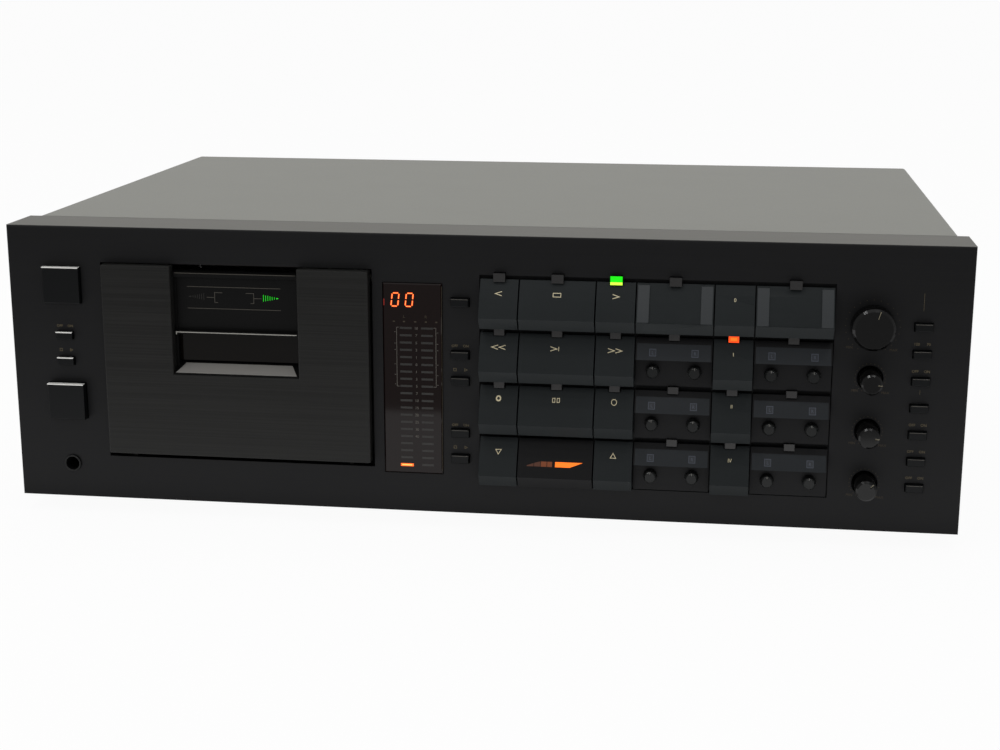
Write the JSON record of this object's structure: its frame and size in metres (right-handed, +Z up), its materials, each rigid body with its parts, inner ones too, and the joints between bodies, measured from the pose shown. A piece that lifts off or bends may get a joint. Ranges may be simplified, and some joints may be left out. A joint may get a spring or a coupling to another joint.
{
  "type": "cassette deck",
  "caption": "Full-width hi-fi auto-reverse cassette deck with a tilting cassette door, a matrix of wedge-shaped keys, level knobs, trimmers and a smoked meter window.",
  "frame": {"origin": "on the floor, under the middle of the deck's bounding box", "axes": "+X to the right seen from the front, +Y to the back, +Z up"},
  "size_m": [0.45, 0.305, 0.142],
  "materials": {
    "panel_black": "black anodised, satin",
    "cover_grey": "satin warm grey",
    "chassis_steel": "plated",
    "door_metal": "black anodised, satin",
    "moulding_black": "satin",
    "key_grey": "satin",
    "button_black": "satin",
    "knob_black": "satin gloss",
    "smoked_lens": "smoked, clear",
    "clear_lens": "clear",
    "spindle_grey": "moulded"
  },
  "bodies": {
    "deck": {"front_panel": "panel_black", "top_cover": "cover_grey", "chassis_pan": "chassis_steel", "key_frame": "moulding_black", "meter_window": "smoked_lens", "transport_frame": "chassis_steel"},
    "door": {"cassette_door": "door_metal", "cassette_holder": "moulding_black", "holder_window": "clear_lens"},
    "supply_spindle": {"supply_spindle": "spindle_grey"},
    "takeup_spindle": {"takeup_spindle": "spindle_grey"},
    "master_level_knob": {"master_level_knob": "knob_black"},
    "reverse_play_key": {"reverse_play_key": "key_grey"},
    "stop_key": {"stop_key": "key_grey"},
    "forward_play_key": {"forward_play_key": "key_grey"},
    "eject_button": {"eject_button": "button_black"},
    "power_button": {"power_button": "button_black"},
    "level_key": {"level_key": "key_grey"},
    "calibration_reset_key": {"calibration_reset_key": "key_grey"},
    "bias_key": {"bias_key": "key_grey"},
    "rewind_key": {"rewind_key": "key_grey"},
    "cue_key": {"cue_key": "key_grey"},
    "fast_forward_key": {"fast_forward_key": "key_grey"},
    "tape_type_1_key": {"tape_type_1_key": "key_grey"},
    "record_mute_key": {"record_mute_key": "key_grey"},
    "pause_key": {"pause_key": "key_grey"},
    "record_key": {"record_key": "key_grey"},
    "tape_type_2_key": {"tape_type_2_key": "key_grey"},
    "fade_down_key": {"fade_down_key": "key_grey"},
    "fade_up_key": {"fade_up_key": "key_grey"},
    "tape_type_3_key": {"tape_type_3_key": "key_grey"},
    "left_level_knob": {"left_level_knob": "knob_black"},
    "right_level_knob": {"right_level_knob": "knob_black"},
    "output_level_knob": {"output_level_knob": "knob_black"},
    "timer_mode_button": {"timer_mode_button": "button_black"},
    "timer_switch_button": {"timer_switch_button": "button_black"},
    "counter_reset_button": {"counter_reset_button": "button_black"},
    "memory_button": {"memory_button": "button_black"},
    "memory_mode_button": {"memory_mode_button": "button_black"},
    "auto_record_button": {"auto_record_button": "button_black"},
    "auto_record_mode_button": {"auto_record_mode_button": "button_black"},
    "monitor_button": {"monitor_button": "button_black"},
    "equalizer_button": {"equalizer_button": "button_black"},
    "noise_reduction_button": {"noise_reduction_button": "button_black"},
    "noise_reduction_type_button": {"noise_reduction_type_button": "button_black"},
    "multiplex_filter_button": {"multiplex_filter_button": "button_black"},
    "subsonic_filter_button": {"subsonic_filter_button": "button_black"},
    "record_pause_button": {"record_pause_button": "button_black"},
    "bias_trimmer_1_left": {"bias_trimmer_1_left": "knob_black"},
    "bias_trimmer_1_right": {"bias_trimmer_1_right": "knob_black"},
    "bias_trimmer_2_left": {"bias_trimmer_2_left": "knob_black"},
    "bias_trimmer_2_right": {"bias_trimmer_2_right": "knob_black"},
    "bias_trimmer_3_left": {"bias_trimmer_3_left": "knob_black"},
    "bias_trimmer_3_right": {"bias_trimmer_3_right": "knob_black"},
    "level_trimmer_1_left": {"level_trimmer_1_left": "knob_black"},
    "level_trimmer_1_right": {"level_trimmer_1_right": "knob_black"},
    "level_trimmer_2_left": {"level_trimmer_2_left": "knob_black"},
    "level_trimmer_2_right": {"level_trimmer_2_right": "knob_black"},
    "level_trimmer_3_left": {"level_trimmer_3_left": "knob_black"},
    "level_trimmer_3_right": {"level_trimmer_3_right": "knob_black"}
  },
  "joints": [
    {"name": "door_hinge", "type": "hinge", "parent": "deck", "child": "door", "pos_m": [-0.1135, -0.132, 0.0321], "axis": [1, 0, 0], "range_deg": [0, 20]},
    {"name": "supply_spindle_turn", "type": "hinge", "parent": "deck", "child": "supply_spindle", "pos_m": [-0.13475, -0.1144, 0.0846], "axis": [0, 1, 0], "continuous": true},
    {"name": "takeup_spindle_turn", "type": "hinge", "parent": "deck", "child": "takeup_spindle", "pos_m": [-0.09225, -0.1144, 0.0846], "axis": [0, 1, 0], "continuous": true},
    {"name": "master_level_knob_turn", "type": "hinge", "parent": "deck", "child": "master_level_knob", "pos_m": [0.18145, -0.139, 0.1049], "axis": [0, 1, 0], "range_deg": [-167, 133]},
    {"name": "reverse_play_key_press", "type": "slide", "parent": "deck", "child": "reverse_play_key", "axis": [0, 1, 0], "range_m": [0, 0.002], "stiffness_N_per_m": 300},
    {"name": "stop_key_press", "type": "slide", "parent": "deck", "child": "stop_key", "axis": [0, 1, 0], "range_m": [0, 0.002], "stiffness_N_per_m": 300},
    {"name": "forward_play_key_press", "type": "slide", "parent": "deck", "child": "forward_play_key", "axis": [0, 1, 0], "range_m": [0, 0.002], "stiffness_N_per_m": 300},
    {"name": "eject_button_press", "type": "slide", "parent": "deck", "child": "eject_button", "axis": [0, 1, 0], "range_m": [0, 0.0024], "stiffness_N_per_m": 350},
    {"name": "power_button_press", "type": "slide", "parent": "deck", "child": "power_button", "axis": [0, 1, 0], "range_m": [0, 0.0024], "stiffness_N_per_m": 350},
    {"name": "level_key_press", "type": "slide", "parent": "deck", "child": "level_key", "axis": [0, 1, 0], "range_m": [0, 0.002], "stiffness_N_per_m": 300},
    {"name": "calibration_reset_key_press", "type": "slide", "parent": "deck", "child": "calibration_reset_key", "axis": [0, 1, 0], "range_m": [0, 0.002], "stiffness_N_per_m": 300},
    {"name": "bias_key_press", "type": "slide", "parent": "deck", "child": "bias_key", "axis": [0, 1, 0], "range_m": [0, 0.002], "stiffness_N_per_m": 300},
    {"name": "rewind_key_press", "type": "slide", "parent": "deck", "child": "rewind_key", "axis": [0, 1, 0], "range_m": [0, 0.002], "stiffness_N_per_m": 300},
    {"name": "cue_key_press", "type": "slide", "parent": "deck", "child": "cue_key", "axis": [0, 1, 0], "range_m": [0, 0.002], "stiffness_N_per_m": 300},
    {"name": "fast_forward_key_press", "type": "slide", "parent": "deck", "child": "fast_forward_key", "axis": [0, 1, 0], "range_m": [0, 0.002], "stiffness_N_per_m": 300},
    {"name": "tape_type_1_key_press", "type": "slide", "parent": "deck", "child": "tape_type_1_key", "axis": [0, 1, 0], "range_m": [0, 0.002], "stiffness_N_per_m": 300},
    {"name": "record_mute_key_press", "type": "slide", "parent": "deck", "child": "record_mute_key", "axis": [0, 1, 0], "range_m": [0, 0.002], "stiffness_N_per_m": 300},
    {"name": "pause_key_press", "type": "slide", "parent": "deck", "child": "pause_key", "axis": [0, 1, 0], "range_m": [0, 0.002], "stiffness_N_per_m": 300},
    {"name": "record_key_press", "type": "slide", "parent": "deck", "child": "record_key", "axis": [0, 1, 0], "range_m": [0, 0.002], "stiffness_N_per_m": 300},
    {"name": "tape_type_2_key_press", "type": "slide", "parent": "deck", "child": "tape_type_2_key", "axis": [0, 1, 0], "range_m": [0, 0.002], "stiffness_N_per_m": 300},
    {"name": "fade_down_key_press", "type": "slide", "parent": "deck", "child": "fade_down_key", "axis": [0, 1, 0], "range_m": [0, 0.002], "stiffness_N_per_m": 300},
    {"name": "fade_up_key_press", "type": "slide", "parent": "deck", "child": "fade_up_key", "axis": [0, 1, 0], "range_m": [0, 0.002], "stiffness_N_per_m": 300},
    {"name": "tape_type_3_key_press", "type": "slide", "parent": "deck", "child": "tape_type_3_key", "axis": [0, 1, 0], "range_m": [0, 0.002], "stiffness_N_per_m": 300},
    {"name": "left_level_knob_turn", "type": "hinge", "parent": "deck", "child": "left_level_knob", "pos_m": [0.18145, -0.139, 0.0808], "axis": [0, 1, 0], "range_deg": [-243, 57]},
    {"name": "right_level_knob_turn", "type": "hinge", "parent": "deck", "child": "right_level_knob", "pos_m": [0.18145, -0.139, 0.056], "axis": [0, 1, 0], "range_deg": [-243, 57]},
    {"name": "output_level_knob_turn", "type": "hinge", "parent": "deck", "child": "output_level_knob", "pos_m": [0.18145, -0.139, 0.0312], "axis": [0, 1, 0], "range_deg": [-194, 106]},
    {"name": "timer_mode_button_press", "type": "slide", "parent": "deck", "child": "timer_mode_button", "axis": [0, 1, 0], "range_m": [0, 0.0018], "stiffness_N_per_m": 250},
    {"name": "timer_switch_button_press", "type": "slide", "parent": "deck", "child": "timer_switch_button", "axis": [0, 1, 0], "range_m": [0, 0.0018], "stiffness_N_per_m": 250},
    {"name": "counter_reset_button_press", "type": "slide", "parent": "deck", "child": "counter_reset_button", "axis": [0, 1, 0], "range_m": [0, 0.0018], "stiffness_N_per_m": 250},
    {"name": "memory_button_press", "type": "slide", "parent": "deck", "child": "memory_button", "axis": [0, 1, 0], "range_m": [0, 0.0018], "stiffness_N_per_m": 250},
    {"name": "memory_mode_button_press", "type": "slide", "parent": "deck", "child": "memory_mode_button", "axis": [0, 1, 0], "range_m": [0, 0.0018], "stiffness_N_per_m": 250},
    {"name": "auto_record_button_press", "type": "slide", "parent": "deck", "child": "auto_record_button", "axis": [0, 1, 0], "range_m": [0, 0.0018], "stiffness_N_per_m": 250},
    {"name": "auto_record_mode_button_press", "type": "slide", "parent": "deck", "child": "auto_record_mode_button", "axis": [0, 1, 0], "range_m": [0, 0.0018], "stiffness_N_per_m": 250},
    {"name": "monitor_button_press", "type": "slide", "parent": "deck", "child": "monitor_button", "axis": [0, 1, 0], "range_m": [0, 0.0018], "stiffness_N_per_m": 250},
    {"name": "equalizer_button_press", "type": "slide", "parent": "deck", "child": "equalizer_button", "axis": [0, 1, 0], "range_m": [0, 0.0018], "stiffness_N_per_m": 250},
    {"name": "noise_reduction_button_press", "type": "slide", "parent": "deck", "child": "noise_reduction_button", "axis": [0, 1, 0], "range_m": [0, 0.0018], "stiffness_N_per_m": 250},
    {"name": "noise_reduction_type_button_press", "type": "slide", "parent": "deck", "child": "noise_reduction_type_button", "axis": [0, 1, 0], "range_m": [0, 0.0018], "stiffness_N_per_m": 250},
    {"name": "multiplex_filter_button_press", "type": "slide", "parent": "deck", "child": "multiplex_filter_button", "axis": [0, 1, 0], "range_m": [0, 0.0018], "stiffness_N_per_m": 250},
    {"name": "subsonic_filter_button_press", "type": "slide", "parent": "deck", "child": "subsonic_filter_button", "axis": [0, 1, 0], "range_m": [0, 0.0018], "stiffness_N_per_m": 250},
    {"name": "record_pause_button_press", "type": "slide", "parent": "deck", "child": "record_pause_button", "axis": [0, 1, 0], "range_m": [0, 0.0018], "stiffness_N_per_m": 250},
    {"name": "bias_trimmer_1_left_turn", "type": "hinge", "parent": "deck", "child": "bias_trimmer_1_left", "pos_m": [0.1371, -0.139, 0.0813], "axis": [0, 1, 0], "range_deg": [-150, 150]},
    {"name": "bias_trimmer_1_right_turn", "type": "hinge", "parent": "deck", "child": "bias_trimmer_1_right", "pos_m": [0.1563, -0.139, 0.0813], "axis": [0, 1, 0], "range_deg": [-150, 150]},
    {"name": "bias_trimmer_2_left_turn", "type": "hinge", "parent": "deck", "child": "bias_trimmer_2_left", "pos_m": [0.1371, -0.139, 0.0562], "axis": [0, 1, 0], "range_deg": [-150, 150]},
    {"name": "bias_trimmer_2_right_turn", "type": "hinge", "parent": "deck", "child": "bias_trimmer_2_right", "pos_m": [0.1563, -0.139, 0.0562], "axis": [0, 1, 0], "range_deg": [-150, 150]},
    {"name": "bias_trimmer_3_left_turn", "type": "hinge", "parent": "deck", "child": "bias_trimmer_3_left", "pos_m": [0.1371, -0.139, 0.0311], "axis": [0, 1, 0], "range_deg": [-150, 150]},
    {"name": "bias_trimmer_3_right_turn", "type": "hinge", "parent": "deck", "child": "bias_trimmer_3_right", "pos_m": [0.1563, -0.139, 0.0311], "axis": [0, 1, 0], "range_deg": [-150, 150]},
    {"name": "level_trimmer_1_left_turn", "type": "hinge", "parent": "deck", "child": "level_trimmer_1_left", "pos_m": [0.0833, -0.139, 0.0813], "axis": [0, 1, 0], "range_deg": [-150, 150]},
    {"name": "level_trimmer_1_right_turn", "type": "hinge", "parent": "deck", "child": "level_trimmer_1_right", "pos_m": [0.1025, -0.139, 0.0813], "axis": [0, 1, 0], "range_deg": [-150, 150]},
    {"name": "level_trimmer_2_left_turn", "type": "hinge", "parent": "deck", "child": "level_trimmer_2_left", "pos_m": [0.0833, -0.139, 0.0562], "axis": [0, 1, 0], "range_deg": [-150, 150]},
    {"name": "level_trimmer_2_right_turn", "type": "hinge", "parent": "deck", "child": "level_trimmer_2_right", "pos_m": [0.1025, -0.139, 0.0562], "axis": [0, 1, 0], "range_deg": [-150, 150]},
    {"name": "level_trimmer_3_left_turn", "type": "hinge", "parent": "deck", "child": "level_trimmer_3_left", "pos_m": [0.0833, -0.139, 0.0311], "axis": [0, 1, 0], "range_deg": [-150, 150]},
    {"name": "level_trimmer_3_right_turn", "type": "hinge", "parent": "deck", "child": "level_trimmer_3_right", "pos_m": [0.1025, -0.139, 0.0311], "axis": [0, 1, 0], "range_deg": [-150, 150]}
  ]
}
